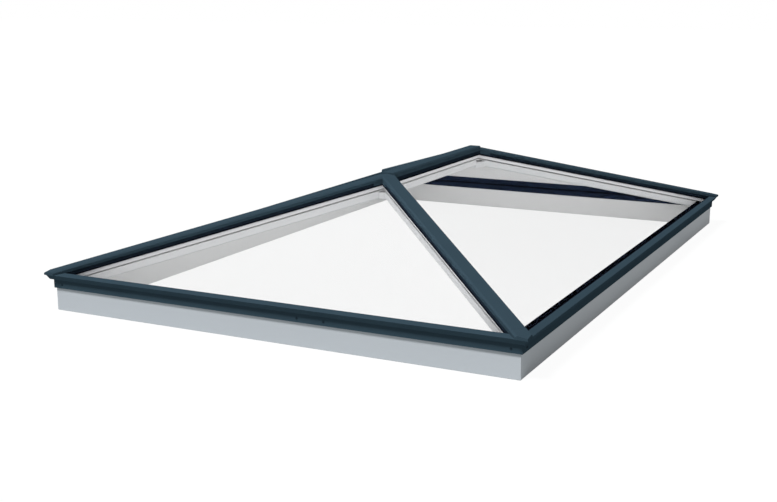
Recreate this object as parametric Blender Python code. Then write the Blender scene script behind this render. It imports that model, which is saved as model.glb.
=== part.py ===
"""Glazed hip-roof lantern on its own kerb: four kerb lengths, four eaves beams with caps, four hip
rafters and a ridge beam, thermal breaks, four double-glazed panes with their seals, and the outer
caps, ridge bosses and corner covers. Metres, +Z up, origin under the middle of the kerb."""

import math

import bmesh
import bpy
from mathutils import Matrix, Vector

# Overall sizes, measured over the kerb
KERB_WIDTH = 2.000
KERB_LENGTH = 3.000
KERB_WALL = 0.070
KERB_HEIGHT = 0.103
PITCH = math.radians(17.8)

# Clearances
SEAT_GAP = 0.0003
CUT_GAP = 0.0004
OVERRUN = 0.010
MERGE = 0.00001

# Kerb section
KERB_SKIN = 0.003
KERB_WEB = 0.0022
KERB_EDGE = 0.0015
TAPE_GROOVE_WIDTH = 0.012
TAPE_GROOVE_DEPTH = 0.0025
KERB_CHAMBER_SHARES = ((0.0, 0.34), (0.34, 0.66), (0.66, 1.0))
KERB_STOREY_SHARES = ((0.0, 0.52), (0.52, 1.0))

# Glazing unit, from the outside in, and the seals on both of its faces
OUTER_PANE = 0.004
CAVITY = 0.016
INNER_PANE = 0.004
OUTER_SEAL = 0.004
INNER_SEAL = 0.004
SPACER_WIDTH = 0.014
PANE_TO_EAVES = 0.004
PANE_TO_HIP = 0.013
PANE_TO_RIDGE = 0.014
SEAL_TO_PANE_EDGE = 0.001
INNER_SEAL_WIDTH = 0.013
EAVES_SEAL_WIDTH = 0.011
INNER_SEAL_SET = 0.034
INNER_SEAL_EAVES_WIDTH = 0.017
SEAL_LIP = 0.0015

# Eaves beam section
BEAM_HEEL = 0.0062
BEAM_WALL = 0.003
BEAM_SET_IN = 0.010
UPSTAND_WALL = 0.0032
LIP_HEIGHT = 0.013
LIP_EDGE = 0.0015
CHAMBER_SET_IN = 0.014

# Eaves cap section
SKIRT_PROUD = 0.007
SKIRT_WALL = 0.0025
SKIRT_LAP = 0.009
SKIRT_HEIGHT = 0.034
RETURN_OUT = 0.018
RETURN_RISE = 0.003
NOSE_OUT = 0.029
NOSE_EDGE = 0.0012
NOSE_RISE = 0.0565
PEAK_RISE = 0.064
TOE_IN = 0.008
TOE_DROP = 0.0092
HEAD_RISE = 0.0533
CAP_WALL = 0.0022

# Rafters and ridge beam section
BAR_WIDTH = 0.050
BAR_DEPTH = 0.034
BAR_WALL = 0.003
BAR_CHAMFER = 0.005
BAR_LIP_WALL = 0.0022
BAR_LIP_SHORT = 0.0008

# Thermal breaks, with the retaining strip that shows under each cap
BREAK_WEB = 0.009
BREAK_RIB = 0.010
STRIP_WIDTH = 0.062
STRIP_RISE = 0.010
STRIP_WALL = 0.0022

# Caps over hips and ridge
COVER_WIDTH = 0.064
COVER_FLAT = 0.052
COVER_SHOULDER = 0.007
HIP_COVER_RISE = 0.0295
RIDGE_COVER_RISE = 0.0334
COVER_WALL = 0.0022
RIDGE_END_WALL = 0.003
BOSS_REACH = 0.050
BOSS_WALL = 0.0022
CORNER_REACH = 0.017
CORNER_OUT = 0.033
CORNER_RIM_RISE = 0.0560
CORNER_TAIL = 0.060

# Ridge hubs and studs
HUB_TO_RIDGE_BEAM = 0.040
HUB_TO_RAFTER = 0.045
HUB_TOP_DROP = 0.047
HUB_DEPTH = 0.027
STUD_SET = 0.005
STUD_RADIUS = 0.004
STUD_SIDES = 16

SLOPE = math.tan(PITCH)
HIP_FALL = SLOPE / math.sqrt(2)
HALF_WIDTH = KERB_WIDTH / 2
HALF_LENGTH = KERB_LENGTH / 2
RIDGE_HALF = HALF_LENGTH - HALF_WIDTH
GLASS_DEPTH = OUTER_PANE + CAVITY + INNER_PANE
SEAT_DEPTH = (GLASS_DEPTH + SEAT_GAP + INNER_SEAL + SEAT_GAP) / math.cos(PITCH)
SEAL_RISE = (SEAT_GAP + OUTER_SEAL + SEAT_GAP) / math.cos(PITCH)
BAR_LIP_RISE = (SEAT_GAP + INNER_SEAL + SEAT_GAP - BAR_LIP_SHORT) / math.cos(PITCH)
STRIP_SEAT = STRIP_RISE + SEAT_GAP
BEAM_FOOT = KERB_HEIGHT + SEAT_GAP
GLASS_DATUM = BEAM_FOOT + BEAM_HEEL + SEAT_DEPTH
RIDGE_LEVEL = GLASS_DATUM + SLOPE * HALF_WIDTH
SEAL_INNER_EDGE = COVER_WIDTH / 2 + SEAL_LIP

SIDES = {
    "front": (HALF_WIDTH, HALF_LENGTH, 0.0),
    "right": (HALF_LENGTH, HALF_WIDTH, math.pi / 2),
    "back": (HALF_WIDTH, HALF_LENGTH, math.pi),
    "left": (HALF_LENGTH, HALF_WIDTH, -math.pi / 2),
}
CORNERS = {
    "front_left": (-1, -1),
    "front_right": (1, -1),
    "back_right": (1, 1),
    "back_left": (-1, 1),
}
CORNER_SIDES = {
    "front_left": ("front", "left"),
    "front_right": ("front", "right"),
    "back_right": ("back", "right"),
    "back_left": ("back", "left"),
}


def clear_scene():
    for item in list(bpy.data.objects):
        bpy.data.objects.remove(item, do_unlink=True)


def new_collection(name):
    group = bpy.data.collections.new(name)
    bpy.context.scene.collection.children.link(group)
    return group


def finish(name, colour, roughness, metallic=0.0, transmission=0.0):
    material = bpy.data.materials.new(name)
    material.use_nodes = True
    shader = material.node_tree.nodes["Principled BSDF"]
    shader.inputs["Base Color"].default_value = (*colour, 1.0)
    shader.inputs["Roughness"].default_value = roughness
    shader.inputs["Metallic"].default_value = metallic
    shader.inputs["Transmission Weight"].default_value = transmission
    material.diffuse_color = (*colour, 1.0)
    return material


def unit_prism(outline, holes=()):
    """A closed prism of a filled outline with holes, its ends at z 0 and z 1."""
    curve = bpy.data.curves.new("outline", "CURVE")
    curve.dimensions = "2D"
    curve.fill_mode = "BOTH"
    curve.extrude = 1 / 2
    for ring in (outline, *holes):
        spline = curve.splines.new("POLY")
        spline.points.add(len(ring) - 1)
        for point, (u, v) in zip(spline.points, ring):
            point.co = (u, v, 0, 1)
        spline.use_cyclic_u = True
    guide = bpy.data.objects.new("outline", curve)
    bpy.context.scene.collection.objects.link(guide)
    graph = bpy.context.evaluated_depsgraph_get()
    mesh = bpy.data.meshes.new_from_object(guide.evaluated_get(graph))
    bpy.data.objects.remove(guide)
    bpy.data.curves.remove(curve)
    shape = bmesh.new()
    shape.from_mesh(mesh)
    bpy.data.meshes.remove(mesh)
    bmesh.ops.remove_doubles(shape, verts=shape.verts, dist=MERGE)
    for vertex in shape.verts:
        vertex.co.z += 1 / 2
    return shape


def add_piece(name, shape, group, material, place=None):
    """Turns a closed shape into a named object, with its faces pointing out."""
    bmesh.ops.recalc_face_normals(shape, faces=shape.faces)
    if shape.calc_volume(signed=True) < 0:
        bmesh.ops.reverse_faces(shape, faces=shape.faces)
    mesh = bpy.data.meshes.new(name)
    shape.to_mesh(mesh)
    shape.free()
    piece = bpy.data.objects.new(name, mesh)
    if place is not None:
        piece.matrix_world = place
    if material is not None:
        mesh.materials.append(material)
    group.objects.link(piece)
    return piece


def swept(outline, holes, at):
    """A prism whose end points go where at(u, v, end) says, with end 0 or 1."""
    shape = unit_prism(outline, holes)
    for vertex in shape.verts:
        vertex.co = Vector(at(vertex.co.x, vertex.co.y, round(vertex.co.z)))
    return shape


def as_cutter(piece):
    piece.hide_render = True
    piece.display_type = "WIRE"
    return piece


def block(name, low, high, group):
    """A plain box between two corners, used as a cutter."""
    shape = bmesh.new()
    bmesh.ops.create_cube(shape, size=1)
    low, high = Vector(low), Vector(high)
    size = high - low
    middle = (high + low) / 2
    for vertex in shape.verts:
        vertex.co = Vector(a * b for a, b in zip(vertex.co, size)) + middle
    return as_cutter(add_piece(name, shape, group, None))


def join_or_cut(piece, other, operation):
    step = piece.modifiers.new(operation.lower() + "_" + other.name, "BOOLEAN")
    step.operation = operation
    step.solver = "EXACT"
    step.object = other


def side_place(side):
    """Frame of one side: x along it, y inward from the kerb's outer face, z up."""
    _, across, turn = SIDES[side]
    return Matrix.Rotation(turn, 4, "Z") @ Matrix.Translation((0, -across, 0))


def side_bar(name, side, outline, holes, group, material, mitre_gap=SEAT_GAP):
    """A length along one side of the plan, mitred at both corners; outline points are (inward, height)."""
    run = SIDES[side][0]

    def at(inward, height, end):
        reach = run - inward - mitre_gap
        return (reach if end else -reach, inward, height)

    return add_piece(name, swept(outline, holes, at), group, material, side_place(side))


def pane_place(side):
    """Frame of one pane: x along the eaves, y up the slope, z out of the glass, on the glass's outer face."""
    _, across, turn = SIDES[side]
    level = Matrix.Translation((0, -across, GLASS_DATUM))
    return Matrix.Rotation(turn, 4, "Z") @ level @ Matrix.Rotation(PITCH, 4, "X")


def pane_outline(side, from_eaves, from_hip, from_ridge):
    """A pane's outline at plan distances from the kerb face, the hips and the ridge."""
    run, across, _ = SIDES[side]
    low = from_eaves
    low_half = run - low - from_hip * math.sqrt(2)
    if across > run:
        top = run - from_hip * math.sqrt(2)
        points = [(-low_half, low), (low_half, low), (0, top)]
    else:
        top = across - from_ridge
        top_half = run - top - from_hip * math.sqrt(2)
        points = [(-low_half, low), (low_half, low), (top_half, top), (-top_half, top)]
    return [(x, y / math.cos(PITCH)) for x, y in points]


def pane_layer(name, side, outer, inner, depth, thickness, group, material):
    """A sheet or a ring lying in the pane's plane, its upper face at the given depth below the glass face."""
    holes = [pane_outline(side, *inner)] if inner else []

    def at(x, y, end):
        return (x, y, -depth if end else -depth - thickness)

    shape = swept(pane_outline(side, *outer), holes, at)
    return add_piece(name, shape, group, material, pane_place(side))


def hip_place(corner):
    """Frame at a kerb corner on the glass plane, x and y running inward from it."""
    sx, sy = CORNERS[corner]
    return Matrix.Translation((sx * HALF_WIDTH, sy * HALF_LENGTH, GLASS_DATUM))


def hip_shape(corner, outline, holes, start, stop=None):
    """A bar along a hip, from one plan distance in from both kerb faces to another, or to just past
    the lantern's middle plane. Outline points are (across, above the hip line)."""
    sx, sy = CORNERS[corner]

    def at(across, above, end):
        middle = HALF_WIDTH + CUT_GAP - across / math.sqrt(2)
        along = (stop or middle) if end else start
        in_x = along + across / math.sqrt(2)
        in_y = along - across / math.sqrt(2)
        return (-sx * in_x, -sy * in_y, SLOPE * along + above)

    return swept(outline, holes, at)


def ridge_shape(outline, holes, half):
    def at(across, above, end):
        return (across, half if end else -half, above)

    return swept(outline, holes, at)


def ridge_place():
    return Matrix.Translation((0, 0, RIDGE_LEVEL))


def kerb_section():
    """Kerb length: a box with six chambers, eased edges and two sealing-tape grooves underneath."""
    inner_half = KERB_WALL / 2
    groove_at = (KERB_WALL / 4, KERB_WALL * 3 / 4)
    outline = [(0, KERB_EDGE), (KERB_EDGE, 0)]
    for middle in groove_at:
        near = middle - TAPE_GROOVE_WIDTH / 2
        far = middle + TAPE_GROOVE_WIDTH / 2
        outline += [(near, 0), (near, TAPE_GROOVE_DEPTH), (far, TAPE_GROOVE_DEPTH), (far, 0)]
    outline += [
        (KERB_WALL - KERB_EDGE, 0),
        (KERB_WALL, KERB_EDGE),
        (KERB_WALL, KERB_HEIGHT - KERB_EDGE),
        (KERB_WALL - KERB_EDGE, KERB_HEIGHT),
        (inner_half, KERB_HEIGHT),
        (KERB_EDGE, KERB_HEIGHT),
        (0, KERB_HEIGHT - KERB_EDGE),
    ]
    floor = KERB_SKIN + TAPE_GROOVE_DEPTH
    wide = KERB_WALL - 2 * KERB_SKIN
    tall = KERB_HEIGHT - KERB_SKIN - floor
    holes = []
    for left, right in KERB_CHAMBER_SHARES:
        for low, high in KERB_STOREY_SHARES:
            u0 = KERB_SKIN + left * wide + (KERB_WEB / 2 if left > 0 else 0)
            u1 = KERB_SKIN + right * wide - (KERB_WEB / 2 if right < 1 else 0)
            v0 = floor + low * tall + (KERB_WEB / 2 if low > 0 else 0)
            v1 = floor + high * tall - (KERB_WEB / 2 if high < 1 else 0)
            holes.append([(u0, v0), (u1, v0), (u1, v1), (u0, v1)])
    return outline, holes


def seat_height(inward):
    """Height of the glazing seat on the eaves beam."""
    return GLASS_DATUM - SEAT_DEPTH + SLOPE * inward


def head_underside():
    return KERB_HEIGHT - SKIRT_LAP + HEAD_RISE


def beam_section():
    """Eaves beam: raked seat, upstand beside the glass edge and a sloping inner lip over the kerb."""
    inner = KERB_WALL - BEAM_SET_IN
    top = head_underside() - SEAT_GAP
    lip_top = BEAM_FOOT + LIP_HEIGHT
    outline = [
        (0, BEAM_FOOT),
        (KERB_WALL, BEAM_FOOT),
        (KERB_WALL, BEAM_FOOT + LIP_EDGE),
        (inner, lip_top),
        (inner, seat_height(inner)),
        (UPSTAND_WALL, seat_height(UPSTAND_WALL)),
        (UPSTAND_WALL, top),
        (0, top),
    ]
    near = CHAMBER_SET_IN
    far = inner - BEAM_WALL
    low = BEAM_FOOT + BEAM_WALL
    hole = [
        (near, low),
        (far, low),
        (far, seat_height(far) - BEAM_WALL),
        (near, seat_height(near) - BEAM_WALL),
    ]
    return outline, [hole]


def cap_points():
    """Corner points of the eaves cap's head, as (inward, height)."""
    foot = KERB_HEIGHT - SKIRT_LAP
    nose = (-NOSE_OUT, foot + NOSE_RISE)
    peak = (0, foot + PEAK_RISE)
    toe = (TOE_IN, foot + PEAK_RISE - TOE_DROP)
    return foot, nose, peak, toe


def cap_section():
    """Eaves cap: skirt over the kerb, raked underside, nose, sloping top and a toe down to the seal."""
    foot, nose, peak, toe = cap_points()
    base = head_underside()
    skirt_in = SKIRT_WALL - SKIRT_PROUD
    outline = [
        (-SKIRT_PROUD, foot),
        (skirt_in, foot),
        (skirt_in, base),
        (toe[0], base),
        (toe[0], toe[1]),
        peak,
        (nose[0] + NOSE_EDGE, nose[1] + NOSE_EDGE),
        nose,
        (-RETURN_OUT, foot + SKIRT_HEIGHT + RETURN_RISE),
        (-SKIRT_PROUD, foot + SKIRT_HEIGHT),
    ]
    low = foot + SKIRT_HEIGHT + RETURN_RISE + CAP_WALL
    rake = (nose[0] + RETURN_OUT) / (NOSE_RISE - SKIRT_HEIGHT - RETURN_RISE)
    hole = [
        (-RETURN_OUT + CAP_WALL, low),
        (-SKIRT_PROUD, low),
        (-SKIRT_PROUD, base + CAP_WALL),
        (toe[0] - 2 * CAP_WALL, base + CAP_WALL),
        (-CAP_WALL / 2, peak[1] - CAP_WALL - NOSE_EDGE),
        (nose[0] + 2 * CAP_WALL, nose[1] - CAP_WALL / 2),
        (-RETURN_OUT + CAP_WALL + rake * (nose[1] - low) / 2, (low + nose[1]) / 2),
    ]
    return outline, [hole]


def cap_keep_out():
    """The cap's head grown by the cutting gap, as the outline of a cutter."""
    _, nose, peak, toe = cap_points()
    low = GLASS_DATUM - OVERRUN
    return [
        (nose[0] - CUT_GAP, low),
        (toe[0] + CUT_GAP, low),
        (toe[0] + CUT_GAP, toe[1] + CUT_GAP),
        (CUT_GAP, peak[1] + CUT_GAP),
        (-CUT_GAP, peak[1] + CUT_GAP),
        (nose[0] + NOSE_EDGE - CUT_GAP, nose[1] + NOSE_EDGE + CUT_GAP),
        (nose[0] - CUT_GAP, nose[1] + CUT_GAP),
    ]


def beam_keep_out():
    """The eaves beam's inner face grown by the cutting gap, as the outline of a cutter."""
    inner = KERB_WALL - BEAM_SET_IN + CUT_GAP
    outer = KERB_WALL + CUT_GAP
    return [
        (-OVERRUN, 0),
        (outer, 0),
        (outer, BEAM_FOOT + LIP_EDGE + CUT_GAP),
        (inner, BEAM_FOOT + LIP_HEIGHT + CUT_GAP),
        (inner, RIDGE_LEVEL),
        (-OVERRUN, RIDGE_LEVEL),
    ]


def bar_section(fall):
    """Rafter or ridge beam: a box whose top falls to both sides as the glazing seat, with a lip
    along each edge that keeps the seal from view."""
    half = BAR_WIDTH / 2
    low = -SEAT_DEPTH - BAR_DEPTH
    lip = half - BAR_LIP_WALL
    lip_top = BAR_LIP_RISE - SEAT_DEPTH
    right = [
        (half - BAR_CHAMFER, low),
        (half, low + BAR_CHAMFER),
        (half, lip_top - fall * half),
        (lip, lip_top - fall * lip),
        (lip, -SEAT_DEPTH - fall * lip),
    ]
    left = [(-u, v) for u, v in reversed(right)]
    outline = right + [(0, -SEAT_DEPTH)] + left
    side = half - BAR_WALL
    hole = [
        (-side, low + BAR_CHAMFER + BAR_WALL / 2),
        (-side + BAR_CHAMFER, low + BAR_WALL),
        (side - BAR_CHAMFER, low + BAR_WALL),
        (side, low + BAR_CHAMFER + BAR_WALL / 2),
        (side, -SEAT_DEPTH - fall * side - BAR_WALL),
        (0, -SEAT_DEPTH - BAR_WALL),
        (-side, -SEAT_DEPTH - fall * side - BAR_WALL),
    ]
    return outline, [hole]


def break_section(fall, cover_rise):
    """Thermal break: a web between the glass edges, a chambered strip on the seals of both panes
    and a rib up to the cap."""
    web = BREAK_WEB / 2
    strip = STRIP_WIDTH / 2
    rib = BREAK_RIB / 2
    low = SEAT_GAP - SEAT_DEPTH
    right = [
        (web, low - fall * web),
        (web, SEAL_RISE - fall * web),
        (strip, SEAL_RISE - fall * strip),
        (strip, STRIP_RISE),
        (rib, STRIP_RISE),
        (rib, cover_rise - COVER_WALL - SEAT_GAP),
    ]
    left = [(-u, v) for u, v in reversed(right)]
    near = web + STRIP_WALL
    far = strip - STRIP_WALL
    chamber = [
        (near, SEAL_RISE + STRIP_WALL - fall * near),
        (far, SEAL_RISE + STRIP_WALL - fall * far),
        (far, STRIP_RISE - STRIP_WALL),
        (near, STRIP_RISE - STRIP_WALL),
    ]
    return [(0, low)] + right + left, [chamber, [(-u, v) for u, v in chamber]]


def cover_solid(fall, rise):
    """Outer form of a cap: flat top, sloping shoulders, and an underside that follows the seals."""
    half = COVER_WIDTH / 2
    flat = COVER_FLAT / 2
    foot = SEAL_RISE - fall * half
    shoulder = rise - COVER_SHOULDER
    return [
        (0, SEAL_RISE),
        (half, foot),
        (half, shoulder),
        (flat, rise),
        (-flat, rise),
        (-half, shoulder),
        (-half, foot),
    ]


def cover_hollow(fall, rise, wall):
    """The space inside a cap, run out below its foot."""
    half = COVER_WIDTH / 2 - wall
    flat = COVER_FLAT / 2 - wall / 2
    foot = SEAL_RISE - fall * half - OVERRUN
    shoulder = rise - COVER_SHOULDER - wall / 2
    top = rise - wall
    return [(-half, foot), (half, foot), (half, shoulder), (flat, top), (-flat, top), (-half, shoulder)]


def ridge_bay(fall, rise):
    """The space between the end walls of the ridge cap: its inside, and below it the strip's width."""
    inside = cover_hollow(fall, rise, COVER_WALL)
    (left, foot), (right, _) = inside[:2]
    wide = COVER_WIDTH / 2 + OVERRUN
    lower = [(-wide, foot), (wide, foot), (wide, STRIP_SEAT), (right, STRIP_SEAT)]
    return lower + inside[2:] + [(left, STRIP_SEAT), (-wide, STRIP_SEAT)]


def cover_shell(rise):
    """Section of a hip cap: an inverted channel of even wall that stands on the retaining strip."""
    half = COVER_WIDTH / 2
    flat = COVER_FLAT / 2
    shoulder = rise - COVER_SHOULDER
    inner = half - COVER_WALL
    inner_flat = flat - COVER_WALL / 2
    outer = [(half, STRIP_SEAT), (half, shoulder), (flat, rise)]
    inside = [
        (inner_flat, rise - COVER_WALL),
        (inner, shoulder - COVER_WALL / 2),
        (inner, STRIP_SEAT),
    ]
    right = outer + [(-u, v) for u, v in reversed(outer)]
    left = [(-u, v) for u, v in reversed(inside)] + inside
    return right + left


def make_kerb(group, material):
    outline, holes = kerb_section()
    for side in SIDES:
        side_bar("kerb_" + side, side, outline, holes, group, material)


def make_eaves_beams(group, material):
    outline, holes = beam_section()
    for side in SIDES:
        side_bar("eaves_beam_" + side, side, outline, holes, group, material)


def make_eaves_caps(group, material):
    outline, holes = cap_section()
    for side in SIDES:
        side_bar("eaves_cap_" + side, side, outline, holes, group, material)


def make_keep_outs(name, outline, cutters):
    """Cutters along the four sides, run past the mitres so that no film is left on them."""
    return {
        side: as_cutter(side_bar(name + side, side, outline, (), cutters, None, -CUT_GAP))
        for side in SIDES
    }


def make_rafters(group, keep_outs, material):
    """Hip rafters, their feet cut to the corner of the eaves beams' inner faces."""
    outline, holes = bar_section(HIP_FALL)
    start = KERB_WALL / 2
    stop = HALF_WIDTH - (HUB_TO_RAFTER + SEAT_GAP) / math.sqrt(2)
    for corner in CORNERS:
        shape = hip_shape(corner, outline, holes, start, stop)
        rafter = add_piece("hip_rafter_" + corner, shape, group, material, hip_place(corner))
        for side in CORNER_SIDES[corner]:
            join_or_cut(rafter, keep_outs[side], "DIFFERENCE")


def make_hip_lengths(name, section, holes, group, keep_outs, material):
    """Lengths between corner cover and ridge boss, notched over the two eaves caps at their foot."""
    start = CORNER_REACH + SEAT_GAP
    stop = HALF_WIDTH - BOSS_REACH - SEAT_GAP
    for corner in CORNERS:
        shape = hip_shape(corner, section, holes, start, stop)
        piece = add_piece(name + corner, shape, group, material, hip_place(corner))
        for side in CORNER_SIDES[corner]:
            join_or_cut(piece, keep_outs[side], "DIFFERENCE")


def make_corner_covers(group, cutters, keep_outs, material):
    """Corner covers: the end of each hip cap, squared to both eaves and seated over their mitre."""
    outline = cover_solid(HIP_FALL, HIP_COVER_RISE)
    foot = KERB_HEIGHT - SKIRT_LAP + CORNER_RIM_RISE
    limit = block(
        "corner_cutter",
        (-HALF_WIDTH - CORNER_OUT, -HALF_LENGTH - CORNER_OUT, foot),
        (HALF_WIDTH + CORNER_OUT, HALF_LENGTH + CORNER_OUT, RIDGE_LEVEL),
        cutters,
    )
    for corner in CORNERS:
        shape = hip_shape(corner, outline, (), -CORNER_TAIL, CORNER_REACH)
        cover = add_piece("corner_cover_" + corner, shape, group, material, hip_place(corner))
        join_or_cut(cover, limit, "INTERSECT")
        for side in CORNER_SIDES[corner]:
            join_or_cut(cover, keep_outs[side], "DIFFERENCE")


def make_ridge(group, cutters, bar_material, break_material, cap_material):
    outline, holes = bar_section(SLOPE)
    shape = ridge_shape(outline, holes, RIDGE_HALF - HUB_TO_RIDGE_BEAM - SEAT_GAP)
    add_piece("ridge_beam", shape, group, bar_material, ridge_place())
    inside_half = RIDGE_HALF - RIDGE_END_WALL
    outline, holes = break_section(SLOPE, RIDGE_COVER_RISE)
    shape = ridge_shape(outline, holes, inside_half - SEAT_GAP)
    add_piece("ridge_thermal_break", shape, group, break_material, ridge_place())
    shape = ridge_shape(cover_solid(SLOPE, RIDGE_COVER_RISE), (), RIDGE_HALF)
    cap = add_piece("ridge_cap", shape, group, cap_material, ridge_place())
    bay = ridge_shape(ridge_bay(SLOPE, RIDGE_COVER_RISE), (), inside_half)
    bay = as_cutter(add_piece("ridge_cap_bay", bay, cutters, None, ridge_place()))
    join_or_cut(cap, bay, "DIFFERENCE")


def ridge_keep_out(cutters):
    """The ridge cap grown by the cutting gap and run out below its foot, as a cutter."""
    half = COVER_WIDTH / 2 + CUT_GAP
    flat = COVER_FLAT / 2 + CUT_GAP
    foot = SEAL_RISE - SLOPE * half - OVERRUN
    top = RIDGE_COVER_RISE + CUT_GAP
    outline = [
        (-half, foot),
        (half, foot),
        (half, top - COVER_SHOULDER),
        (flat, top),
        (-flat, top),
        (-half, top - COVER_SHOULDER),
    ]
    shape = ridge_shape(outline, (), RIDGE_HALF + CUT_GAP)
    return as_cutter(add_piece("ridge_keep_out", shape, cutters, None, ridge_place()))


def make_boss(end, group, cutters, keep_out, material):
    """Ridge boss: a cast cover where two hip caps run up to the end of the ridge cap, with its two
    wings lapping the ridge cap's flanks."""
    start = HALF_WIDTH - BOSS_REACH
    halves = [end + "_left", end + "_right"]
    solid = cover_solid(HIP_FALL, HIP_COVER_RISE)
    inside = cover_hollow(HIP_FALL, HIP_COVER_RISE, BOSS_WALL)
    first, second = (hip_shape(corner, solid, (), start) for corner in halves)
    boss = add_piece("ridge_boss_" + end, first, group, material, hip_place(halves[0]))
    other = add_piece("boss_half_" + end, second, cutters, None, hip_place(halves[1]))
    join_or_cut(boss, as_cutter(other), "UNION")
    top = block(
        "boss_top_" + end,
        (-HALF_WIDTH, -HALF_LENGTH, 0),
        (HALF_WIDTH, HALF_LENGTH, RIDGE_LEVEL + HIP_COVER_RISE),
        cutters,
    )
    join_or_cut(boss, top, "INTERSECT")
    join_or_cut(boss, keep_out, "DIFFERENCE")
    for corner in halves:
        hollow = hip_shape(corner, inside, (), start - OVERRUN)
        cutter = add_piece("boss_hollow_" + corner, hollow, cutters, None, hip_place(corner))
        join_or_cut(boss, as_cutter(cutter), "DIFFERENCE")


def make_hub(end, sign, group, hub_material, stud_material):
    """Ridge hub, a cast block that takes the ridge beam and two rafters, and the stud up to the boss."""
    half = BAR_WIDTH / 2
    diagonal = 1 / math.sqrt(2)
    out = HUB_TO_RAFTER * diagonal
    spread = half * diagonal
    right = [
        (half, HUB_TO_RIDGE_BEAM),
        (out + spread, spread - out),
        (out - spread, -out - spread),
    ]
    outline = [(-u, v) for u, v in right] + list(reversed(right))

    def at(u, v, end_index):
        low = -HUB_TOP_DROP - HUB_DEPTH
        return (u, v, -HUB_TOP_DROP if end_index else low)

    turn = 0.0 if sign < 0 else math.pi
    place = Matrix.Translation((0, sign * RIDGE_HALF, RIDGE_LEVEL)) @ Matrix.Rotation(turn, 4, "Z")
    add_piece("ridge_hub_" + end, swept(outline, (), at), group, hub_material, place)
    low = SEAT_GAP - HUB_TOP_DROP
    fall = SLOPE * (STUD_SET / 2 + STUD_RADIUS)
    high = HIP_COVER_RISE - BOSS_WALL - SEAT_GAP - fall
    shape = bmesh.new()
    bmesh.ops.create_cone(
        shape,
        cap_ends=True,
        segments=STUD_SIDES,
        radius1=STUD_RADIUS,
        radius2=STUD_RADIUS,
        depth=high - low,
    )
    middle = Vector((0, sign * (RIDGE_HALF + STUD_SET), RIDGE_LEVEL + (high + low) / 2))
    add_piece("ridge_stud_" + end, shape, group, stud_material, Matrix.Translation(middle))


def make_panes(group, glass, spacer, seal):
    """Each pane's five layers, from the outer seal down to the inner seal."""
    pane_edge = (PANE_TO_EAVES, PANE_TO_HIP, PANE_TO_RIDGE)
    spacer_inner = tuple(edge + SPACER_WIDTH for edge in pane_edge)
    seal_outer = tuple(edge + SEAL_TO_PANE_EDGE for edge in pane_edge)
    outer_seal_inner = (seal_outer[0] + EAVES_SEAL_WIDTH, SEAL_INNER_EDGE, SEAL_INNER_EDGE)
    inner_seal_outer = (INNER_SEAL_SET, seal_outer[1], seal_outer[2])
    inner_seal_inner = (
        INNER_SEAL_SET + INNER_SEAL_EAVES_WIDTH,
        seal_outer[1] + INNER_SEAL_WIDTH,
        seal_outer[2] + INNER_SEAL_WIDTH,
    )
    spacer_depth = OUTER_PANE + SEAT_GAP
    spacer_height = CAVITY - 2 * SEAT_GAP
    for side in SIDES:
        def layer(name, outer, inner, depth, thickness, material, side=side):
            pane_layer(name + "_" + side, side, outer, inner, depth, thickness, group, material)

        layer("outer_seal", seal_outer, outer_seal_inner, -SEAT_GAP - OUTER_SEAL, OUTER_SEAL, seal)
        layer("outer_glass", pane_edge, None, 0, OUTER_PANE, glass)
        layer("spacer", pane_edge, spacer_inner, spacer_depth, spacer_height, spacer)
        layer("inner_glass", pane_edge, None, OUTER_PANE + CAVITY, INNER_PANE, glass)
        layer("inner_seal", inner_seal_outer, inner_seal_inner, GLASS_DEPTH + SEAT_GAP, INNER_SEAL, seal)


def main():
    clear_scene()
    lantern = new_collection("roof_lantern")
    cutters = new_collection("cutters")
    anthracite = finish("anthracite_powder_coat", (0.045, 0.075, 0.098), 0.42)
    white = finish("white_powder_coat", (0.78, 0.79, 0.80), 0.45)
    kerb_grey = finish("light_grey_kerb", (0.60, 0.61, 0.63), 0.50)
    polyamide = finish("black_polyamide", (0.02, 0.02, 0.022), 0.60)
    rubber = finish("black_rubber_seal", (0.012, 0.012, 0.014), 0.75)
    glass = finish("clear_glass", (0.94, 0.97, 0.96), 0.02, 0.0, 1.0)
    spacer = finish("light_grey_edge_spacer", (0.62, 0.63, 0.66), 0.45)
    steel = finish("stainless_steel", (0.55, 0.55, 0.56), 0.30, 1.0)
    make_kerb(lantern, kerb_grey)
    make_eaves_beams(lantern, anthracite)
    make_eaves_caps(lantern, anthracite)
    keep_outs = make_keep_outs("cap_keep_out_", cap_keep_out(), cutters)
    beam_keep_outs = make_keep_outs("beam_keep_out_", beam_keep_out(), cutters)
    make_rafters(lantern, beam_keep_outs, white)
    strip, chambers = break_section(HIP_FALL, HIP_COVER_RISE)
    channel = cover_shell(HIP_COVER_RISE)
    make_hip_lengths("hip_thermal_break_", strip, chambers, lantern, keep_outs, polyamide)
    make_hip_lengths("hip_cap_", channel, (), lantern, keep_outs, anthracite)
    make_corner_covers(lantern, cutters, keep_outs, anthracite)
    make_ridge(lantern, cutters, white, polyamide, anthracite)
    ridge_cutter = ridge_keep_out(cutters)
    for end, sign in (("front", -1), ("back", 1)):
        make_boss(end, lantern, cutters, ridge_cutter, anthracite)
        make_hub(end, sign, lantern, white, steel)
    make_panes(lantern, glass, spacer, rubber)


main()
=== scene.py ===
"""Roof lantern, dressed: coated and moulded finishes, small fixings, a plain studio and the camera."""

import math

import bmesh
import bpy
from mathutils import Matrix, Vector

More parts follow.
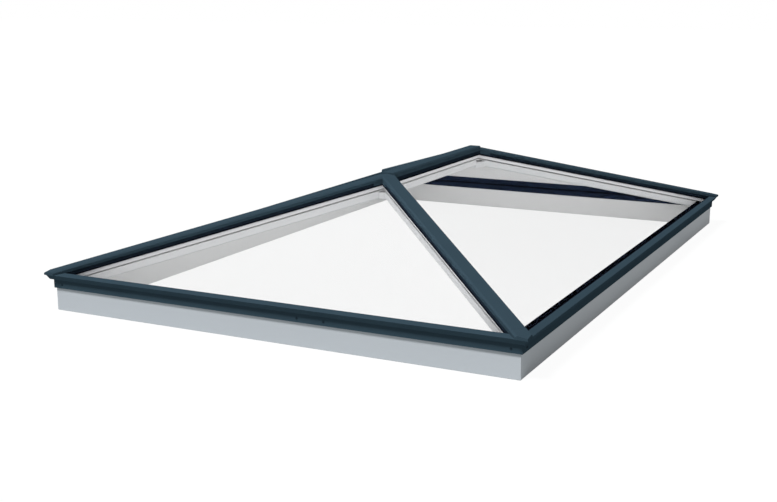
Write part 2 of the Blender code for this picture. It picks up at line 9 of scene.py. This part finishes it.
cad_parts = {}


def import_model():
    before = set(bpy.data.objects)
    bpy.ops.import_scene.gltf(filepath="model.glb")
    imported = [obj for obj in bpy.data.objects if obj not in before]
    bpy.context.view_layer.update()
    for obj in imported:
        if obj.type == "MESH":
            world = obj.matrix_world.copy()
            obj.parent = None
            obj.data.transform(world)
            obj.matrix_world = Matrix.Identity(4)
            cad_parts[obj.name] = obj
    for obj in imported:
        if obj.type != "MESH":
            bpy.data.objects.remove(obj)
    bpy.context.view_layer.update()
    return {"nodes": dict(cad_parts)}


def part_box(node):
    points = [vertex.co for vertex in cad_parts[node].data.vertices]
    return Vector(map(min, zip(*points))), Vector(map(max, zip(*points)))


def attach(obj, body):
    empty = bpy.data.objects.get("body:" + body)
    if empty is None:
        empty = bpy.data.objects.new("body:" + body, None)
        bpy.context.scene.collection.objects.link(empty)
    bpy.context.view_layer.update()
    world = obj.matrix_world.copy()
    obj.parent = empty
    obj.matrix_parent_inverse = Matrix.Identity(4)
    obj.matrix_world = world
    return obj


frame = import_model()

# Camera: place in metres, turn in degrees, lens in millimetres on a 36 mm sensor
CAMERA_PLACE = (2.2919, -5.0794, 1.2946)
CAMERA_TURN = (77.337, 0.009, 26.519)
CAMERA_LENS = 54.99
CAMERA_SENSOR = 36.0

# Studio: the way to the key light, its strength and how soft it is in degrees, then the sky's fill
KEY_FROM = (-0.25, -0.46, 0.85)
KEY_STRENGTH = 3.25
KEY_SOFTNESS = 14.0
SKY_HEX = "EAEDEF"
SKY_STRENGTH = 0.24
PAGE_HEX = "FFFFFF"
PAGE_STRENGTH = 1.0

# Floor: its side in metres, its paper, and how much of the page's white it gives back to the eye
FLOOR_SIZE = 60.0
FLOOR_HEX = "BFC4C4"
FLOOR_GLOW_SHARE = 0.90
FLOOR_GLOW = 1.06

# Patterns: the two values between which a noise swings most of the time, under the names that a
# range node has for them, then the depth of a coat's detail and of its relief
MM = 0.001
NOISE_SWING = {"From Min": 0.3, "From Max": 0.7}
COAT_DETAIL = 3.0
RELIEF_MM = 0.2

# Glass: its tint seen from above and at a slant, and the part of the key light that each face of a
# pane lets through, which stands for a solar coating
GLASS_NAME = "clear_float_glass"
GLASS_TINT = "FAFAFA"
GLASS_SLANT_TINT = "F7F7F7"
GLASS_SHADE = "A6A6A8"
# The pane itself doesn't bend or reflect, because thin panes show no bend at this size and the
# small reflection from above would only speckle the dark seals. The mirror at a flat glance is
# mixed in by the facing value below, from none at the first to all at the second
GLASS_IOR = 1.0
GLASS_MIRROR = "FDFDFD"
MIRROR_FACING = (0.79, 0.85)
SLANT_FACING = (0.55, 0.75)
EVEN_FACING_BLEND = 0.5

# Stainless steel of the ridge studs. Drawn lines are finer than this on a real stud, and are drawn
# coarser here so that they show in a close view
STEEL_NAME = "drawn_stainless_steel"
STEEL_HEX = "B9BABC"
STEEL_ROUGHNESS = (0.25, 0.42)
STEEL_LINE_MM = 0.5
STEEL_LINE_STRETCH = (1, 1, 12)
STEEL_LINE_DETAIL = 2.0
ALL_WAYS_ALIKE = (1, 1, 1)

# Solid finishes: two near colours and the size of their clouds in mm, the size of the grain in mm,
# the range of roughness, the depth of the relief as a share, and the level of gloss. The grains
# have their real size. From the camera they are too fine to be seen one by one and only even out
# the gloss, and a close view shows them
SOLID_FINISHES = {
    # Outer caps: a dark blue-grey matt coat, its slight orange peel breaking up the light
    "anthracite_powder_coat": (("394B56", "344550"), 140.0, 1.6, (0.46, 0.56), 0.10, 0.0),
    # Eaves beams under the glass: a darker, bluer coat, seen as the dark wedge behind the panes
    "graphite_powder_coat": (("212A3C", "1F2839"), 140.0, 1.6, (0.46, 0.56), 0.10, 0.0),
    # Rafters and ridge beam: a clean white satin coat that takes up the grey of the shade
    "white_powder_coat": (("EFEFF0", "EBECEE"), 140.0, 1.6, (0.46, 0.56), 0.08, 0.20),
    # Kerb: a light grey foil with a very fine grain and broad, barely seen clouds
    "light_grey_foil": (("C1C6CB", "BEC3C9"), 220.0, 2.5, (0.42, 0.52), 0.15, 0.25),
    # Thermal breaks: matt plastic, blue-black, the dark line under the hip and ridge caps
    "blue_black_polyamide": (("1E2833", "212C37"), 60.0, 0.8, (0.50, 0.62), 0.05, 0.0),
    # Screws of the skirts: painted near the caps' tone, a little darker, and barely seen
    "painted_screw_steel": (("26333D", "28363F"), 60.0, 0.8, (0.50, 0.62), 0.05, 0.0),
    # Outer seals: matt rubber, black with a little blue
    "black_rubber_seal": (("0F121B", "11141D"), 60.0, 0.8, (0.58, 0.70), 0.05, 0.0),
    # Inner seals: the same rubber along the eaves, light on the white bars, where no line shows
    "two_tone_rubber_seal": (("0F121B", "11141D"), 60.0, 0.8, (0.58, 0.70), 0.05, 0.0),
    # Edge spacers of the panes: light grey and matt, a pale band round each pane
    "light_grey_edge_spacer": (("DADBDD", "D6D7DA"), 60.0, 0.8, (0.36, 0.46), 0.10, 0.10),
}
# The second tone of a finish that has two, and where it lies: white on the kerb's inner faces, and
# light grey on the seals above the height given in metres, where they leave the eaves
INSIDE_KERB = "inside_kerb"
ABOVE_EAVES = "above_eaves"
SECOND_TONES = {
    "light_grey_foil": (INSIDE_KERB, "E8E7E7"),
    "two_tone_rubber_seal": (ABOVE_EAVES, "E2E2E3"),
}
EAVES_SEAL_TOP = 0.134

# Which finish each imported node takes, by the start of its name
DRESS = {
    "kerb": "light_grey_foil",
    "eaves_beam": "graphite_powder_coat",
    "eaves_cap": "anthracite_powder_coat",
    "corner_cover": "anthracite_powder_coat",
    "hip_rafter": "white_powder_coat",
    "hip_thermal_break": "blue_black_polyamide",
    "hip_cap": "anthracite_powder_coat",
    "ridge_beam": "white_powder_coat",
    "ridge_thermal_break": "blue_black_polyamide",
    "ridge_cap": "anthracite_powder_coat",
    "ridge_boss": "anthracite_powder_coat",
    "ridge_hub": "white_powder_coat",
    "ridge_stud": STEEL_NAME,
    "outer_seal": "black_rubber_seal",
    "outer_glass": GLASS_NAME,
    "spacer": "light_grey_edge_spacer",
    "inner_glass": GLASS_NAME,
    "inner_seal": "two_tone_rubber_seal",
}

# Button-head screws on the skirts of the eaves caps, in metres. The skirt stands proud of the
# kerb, and a screw's middle lies a little above the kerb's top
SCREW_RADIUS = 0.0046
SCREW_RISE = 0.0020
SCREW_RIM = 0.0007
SCREW_SIDES = 24
SHOULDER_SHARE = 0.8
RECESS_RADIUS = 0.0019
RECESS_DEPTH = 0.0012
RECESS_EDGE_SHARE = 1.2
SKIRT_PROUD = 0.007
SCREW_OVER_KERB = 0.0063
SCREW_FROM_END = 0.034
MIDDLE_SCREWS = (0.135, 0.247)


def linear(hex_colour):
    """An sRGB hex colour as linear red, green, blue and full alpha."""
    parts = [int(hex_colour[i : i + 2], 16) / 255 for i in (0, 2, 4)]
    low = [p / 12.92 if p <= 0.04045 else ((p + 0.055) / 1.055) ** 2.4 for p in parts]
    return (*low, 1.0)


def node(tree, kind, settings=None, inputs=None):
    """Adds a node with its settings, and sets or links its inputs by name or number."""
    made = tree.nodes.new(kind)
    for name, value in (settings or {}).items():
        setattr(made, name, value)
    for name, value in (inputs or {}).items():
        if isinstance(value, bpy.types.NodeSocket):
            tree.links.new(value, made.inputs[name])
        else:
            made.inputs[name].default_value = value
    return made


def new_material(name):
    """An empty material and its node tree."""
    material = bpy.data.materials.new(name)
    material.use_nodes = True
    material.node_tree.nodes.clear()
    return material, material.node_tree


def noise_of(tree, size_mm, detail, stretch=ALL_WAYS_ALIKE):
    """Noise whose patches have the given real size, drawn longer along an axis by its stretch."""
    where = node(tree, "ShaderNodeTexCoord").outputs["Object"]
    scale = [1 / (size_mm * MM * times) for times in stretch]
    placed = node(tree, "ShaderNodeMapping", None, {"Vector": where, "Scale": scale})
    pattern = {"Vector": placed.outputs["Vector"], "Scale": 1.0, "Detail": detail}
    return node(tree, "ShaderNodeTexNoise", None, pattern).outputs["Fac"]


def kerb_middle():
    """The middle of the kerb's wall on the right and at the back, as a corner on the floor."""
    right_low, right_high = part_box("kerb_right")
    back_low, back_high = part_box("kerb_back")
    return ((right_low[0] + right_high[0]) / 2, (back_low[1] + back_high[1]) / 2, 0.0)


def inside_kerb_share(tree):
    """1 inside the line along the middle of the kerb's wall, and 0 outside it."""
    where = node(tree, "ShaderNodeTexCoord").outputs["Object"]
    out = node(tree, "ShaderNodeVectorMath", {"operation": "ABSOLUTE"}, {0: where})
    line = {0: out.outputs["Vector"], 1: kerb_middle()}
    past = node(tree, "ShaderNodeVectorMath", {"operation": "SUBTRACT"}, line)
    parts = node(tree, "ShaderNodeSeparateXYZ", None, {0: past.outputs["Vector"]})
    ways = {0: parts.outputs["X"], 1: parts.outputs["Y"]}
    furthest = node(tree, "ShaderNodeMath", {"operation": "MAXIMUM"}, ways)
    inside = {0: furthest.outputs["Value"], 1: 0.0}
    return node(tree, "ShaderNodeMath", {"operation": "LESS_THAN"}, inside).outputs["Value"]


def above_eaves_share(tree):
    """1 above the stretch of seal along the eaves, and 0 on it."""
    where = node(tree, "ShaderNodeTexCoord").outputs["Object"]
    parts = node(tree, "ShaderNodeSeparateXYZ", None, {0: where})
    above = {0: parts.outputs["Z"], 1: EAVES_SEAL_TOP}
    return node(tree, "ShaderNodeMath", {"operation": "GREATER_THAN"}, above).outputs["Value"]


def two_tones(tree, name, first_tone):
    """The first tone with the finish's second one laid over it in its own place."""
    place, tone = SECOND_TONES[name]
    share = inside_kerb_share(tree) if place == INSIDE_KERB else above_eaves_share(tree)
    tones = {0: share, 6: first_tone, 7: linear(tone)}
    return node(tree, "ShaderNodeMix", {"data_type": "RGBA"}, tones).outputs[2]


def solid_finish(name, colours, cloud_mm, grain_mm, roughness, relief, gloss):
    """A coat or a plastic: two near colours in broad clouds, and a fine grain in gloss and relief."""
    material, tree = new_material(name)
    cloud = noise_of(tree, cloud_mm, COAT_DETAIL)
    grain = noise_of(tree, grain_mm, COAT_DETAIL)
    clouds = {0: cloud, 6: linear(colours[0]), 7: linear(colours[1])}
    colour = node(tree, "ShaderNodeMix", {"data_type": "RGBA"}, clouds).outputs[2]
    if name in SECOND_TONES:
        colour = two_tones(tree, name, colour)
    smooth, rough = roughness
    spread = {"Value": grain, **NOISE_SWING, "To Min": smooth, "To Max": rough}
    peel = {"Height": grain, "Strength": relief, "Distance": RELIEF_MM * MM}
    look = {
        "Base Color": colour,
        "Roughness": node(tree, "ShaderNodeMapRange", None, spread).outputs["Result"],
        "Normal": node(tree, "ShaderNodeBump", None, peel).outputs["Normal"],
        "Specular IOR Level": gloss,
    }
    coat = node(tree, "ShaderNodeBsdfPrincipled", None, look)
    node(tree, "ShaderNodeOutputMaterial", None, {"Surface": coat.outputs["BSDF"]})
    return material


def float_glass(name):
    """Clear float glass with a thin solar coating: no gloss from above, a mirror at a flat glance,
    and only part of the key light let in."""
    material, tree = new_material(name)
    even = {"Blend": EVEN_FACING_BLEND}
    facing = node(tree, "ShaderNodeLayerWeight", None, even).outputs["Facing"]
    slant, flat = [
        node(
            tree,
            "ShaderNodeMapRange",
            {"interpolation_type": "SMOOTHSTEP"},
            {"Value": facing, "From Min": first, "From Max": last},
        ).outputs["Result"]
        for first, last in (SLANT_FACING, MIRROR_FACING)
    ]
    tints = {0: slant, 6: linear(GLASS_TINT), 7: linear(GLASS_SLANT_TINT)}
    clear = {
        "Base Color": node(tree, "ShaderNodeMix", {"data_type": "RGBA"}, tints).outputs[2],
        "Roughness": 0.0,
        "IOR": GLASS_IOR,
        "Transmission Weight": 1.0,
    }
    pane = node(tree, "ShaderNodeBsdfPrincipled", None, clear)
    sharp = {"Color": linear(GLASS_MIRROR), "Roughness": 0.0}
    mirror = node(tree, "ShaderNodeBsdfGlossy", None, sharp)
    glance = {0: flat, 1: pane.outputs["BSDF"], 2: mirror.outputs["BSDF"]}
    seen = node(tree, "ShaderNodeMixShader", None, glance)
    shade = node(tree, "ShaderNodeBsdfTransparent", None, {"Color": linear(GLASS_SHADE)})
    shadow_ray = node(tree, "ShaderNodeLightPath").outputs["Is Shadow Ray"]
    light = {0: shadow_ray, 1: seen.outputs["Shader"], 2: shade.outputs["BSDF"]}
    both = node(tree, "ShaderNodeMixShader", None, light)
    node(tree, "ShaderNodeOutputMaterial", None, {"Surface": both.outputs["Shader"]})
    return material


def stainless(name):
    """Drawn stainless steel: grey metal with fine lines along it."""
    material, tree = new_material(name)
    lines = noise_of(tree, STEEL_LINE_MM, STEEL_LINE_DETAIL, STEEL_LINE_STRETCH)
    smooth, rough = STEEL_ROUGHNESS
    spread = {"Value": lines, **NOISE_SWING, "To Min": smooth, "To Max": rough}
    look = {
        "Base Color": linear(STEEL_HEX),
        "Metallic": 1.0,
        "Roughness": node(tree, "ShaderNodeMapRange", None, spread).outputs["Result"],
    }
    steel = node(tree, "ShaderNodeBsdfPrincipled", None, look)
    node(tree, "ShaderNodeOutputMaterial", None, {"Surface": steel.outputs["BSDF"]})
    return material


def camera():
    """The camera where the photograph was taken from."""
    data = bpy.data.cameras.new("camera")
    data.lens = CAMERA_LENS
    data.sensor_width = CAMERA_SENSOR
    made = bpy.data.objects.new("camera", data)
    made.location = CAMERA_PLACE
    made.rotation_euler = [math.radians(angle) for angle in CAMERA_TURN]
    bpy.context.scene.collection.objects.link(made)
    bpy.context.scene.camera = made


def key_light():
    """A soft sun. Rays that pass a pane don't meet it, because its shadow rays, which the glass
    shades, already bring its light inside."""
    data = bpy.data.lights.new("key", "SUN")
    data.energy = KEY_STRENGTH
    data.angle = math.radians(KEY_SOFTNESS)
    made = bpy.data.objects.new("key", data)
    made.rotation_euler = (-Vector(KEY_FROM)).to_track_quat("-Z", "Y").to_euler()
    made.visible_transmission = False
    bpy.context.scene.collection.objects.link(made)


def page_share(tree):
    """1 for rays that should see the white page: from the camera, a mirror or glass."""
    path = node(tree, "ShaderNodeLightPath")
    seen = path.outputs["Is Camera Ray"]
    for kind in ("Is Glossy Ray", "Is Transmission Ray"):
        either = {0: seen, 1: path.outputs[kind]}
        seen = node(tree, "ShaderNodeMath", {"operation": "MAXIMUM"}, either).outputs["Value"]
    return seen


def world():
    """An even pale sky that lights the lantern, and the white page that the eye sees instead."""
    made = bpy.data.worlds.new("studio")
    made.use_nodes = True
    tree = made.node_tree
    tree.nodes.clear()
    fill = {"Color": linear(SKY_HEX), "Strength": SKY_STRENGTH}
    sky = node(tree, "ShaderNodeBackground", None, fill)
    white = {"Color": linear(PAGE_HEX), "Strength": PAGE_STRENGTH}
    page = node(tree, "ShaderNodeBackground", None, white)
    views = {0: page_share(tree), 1: sky.outputs[0], 2: page.outputs[0]}
    both = node(tree, "ShaderNodeMixShader", None, views)
    node(tree, "ShaderNodeOutputWorld", None, {"Surface": both.outputs["Shader"]})
    bpy.context.scene.world = made


def floor_paper():
    """Pale paper that shows as the page does and keeps a faint shadow."""
    material, tree = new_material("studio_floor")
    paper = node(tree, "ShaderNodeBsdfDiffuse", None, {"Color": linear(FLOOR_HEX)})
    white = {"Color": linear(PAGE_HEX), "Strength": FLOOR_GLOW}
    glow = node(tree, "ShaderNodeEmission", None, white)
    part = {0: page_share(tree), 1: FLOOR_GLOW_SHARE}
    share = node(tree, "ShaderNodeMath", {"operation": "MULTIPLY"}, part).outputs["Value"]
    looks = {0: share, 1: paper.outputs["BSDF"], 2: glow.outputs["Emission"]}
    both = node(tree, "ShaderNodeMixShader", None, looks)
    node(tree, "ShaderNodeOutputMaterial", None, {"Surface": both.outputs["Shader"]})
    return material


def floor():
    """The studio floor under the lantern."""
    shape = bmesh.new()
    bmesh.ops.create_grid(shape, x_segments=1, y_segments=1, size=FLOOR_SIZE / 2)
    mesh = bpy.data.meshes.new("floor")
    shape.to_mesh(mesh)
    shape.free()
    mesh.materials.append(floor_paper())
    made = bpy.data.objects.new("floor", mesh)
    bpy.context.scene.collection.objects.link(made)


def screw_shape():
    """A button head with a round recess, its seat at z 0 and its top towards +z."""
    shape = bmesh.new()
    rings = (
        (SCREW_RADIUS, 0),
        (SCREW_RADIUS, SCREW_RIM),
        (SCREW_RADIUS * SHOULDER_SHARE, SCREW_RISE * SHOULDER_SHARE),
        (RECESS_RADIUS * RECESS_EDGE_SHARE, SCREW_RISE),
        (RECESS_RADIUS, SCREW_RISE - RECESS_DEPTH),
    )
    turns = [2 * math.pi * i / SCREW_SIDES for i in range(SCREW_SIDES)]
    loops = [
        [shape.verts.new((radius * math.cos(a), radius * math.sin(a), height)) for a in turns]
        for radius, height in rings
    ]
    for lower, upper in zip(loops, loops[1:]):
        for i in range(SCREW_SIDES):
            j = (i + 1) % SCREW_SIDES
            shape.faces.new((lower[i], lower[j], upper[j], upper[i]))
    shape.faces.new(list(reversed(loops[0])))
    shape.faces.new(loops[-1])
    return shape


def screw(name, finish, seat):
    """One screw in its place, the place given as a matrix that carries it from the origin."""
    shape = screw_shape()
    mesh = bpy.data.meshes.new(name)
    shape.to_mesh(mesh)
    shape.free()
    mesh.materials.append(finish)
    made = bpy.data.objects.new(name, mesh)
    made.matrix_world = seat
    bpy.context.scene.collection.objects.link(made)
    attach(made, "root")


def screws(finish):
    """Screws on the skirts: one near each end of every cap, and a pair right of the front's middle."""
    low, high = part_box("kerb_front")
    half_width = (high[0] - low[0]) / 2
    half_length = -low[1]
    level = high[2] + SCREW_OVER_KERB
    # Each side's half run along the skirt, its distance from the middle, and its turn in degrees
    sides = {
        "front": (half_width, half_length, 0.0),
        "right": (half_length, half_width, 90.0),
        "back": (half_width, half_length, 180.0),
        "left": (half_length, half_width, -90.0),
    }
    facing_out = Matrix.Rotation(math.radians(90), 4, "X")
    for side, (run, across, turn) in sides.items():
        end = run - SCREW_FROM_END
        places = (-end, end, *MIDDLE_SCREWS) if side == "front" else (-end, end)
        for number, along in enumerate(places, 1):
            on_skirt = Matrix.Translation((along, -across - SKIRT_PROUD, level))
            seat = Matrix.Rotation(math.radians(turn), 4, "Z") @ on_skirt @ facing_out
            screw(f"skirt_screw_{side}_{number}", finish, seat)


def dress(finishes):
    """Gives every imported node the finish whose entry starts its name."""
    for name, piece in frame["nodes"].items():
        for start, finish in DRESS.items():
            if name.startswith(start):
                piece.data.materials.clear()
                piece.data.materials.append(finishes[finish])


def main():
    camera()
    world()
    key_light()
    floor()
    finishes = {name: solid_finish(name, *look) for name, look in SOLID_FINISHES.items()}
    finishes[GLASS_NAME] = float_glass(GLASS_NAME)
    finishes[STEEL_NAME] = stainless(STEEL_NAME)
    dress(finishes)
    screws(finishes["painted_screw_steel"])
    bpy.context.scene.view_settings.view_transform = "Standard"


main()
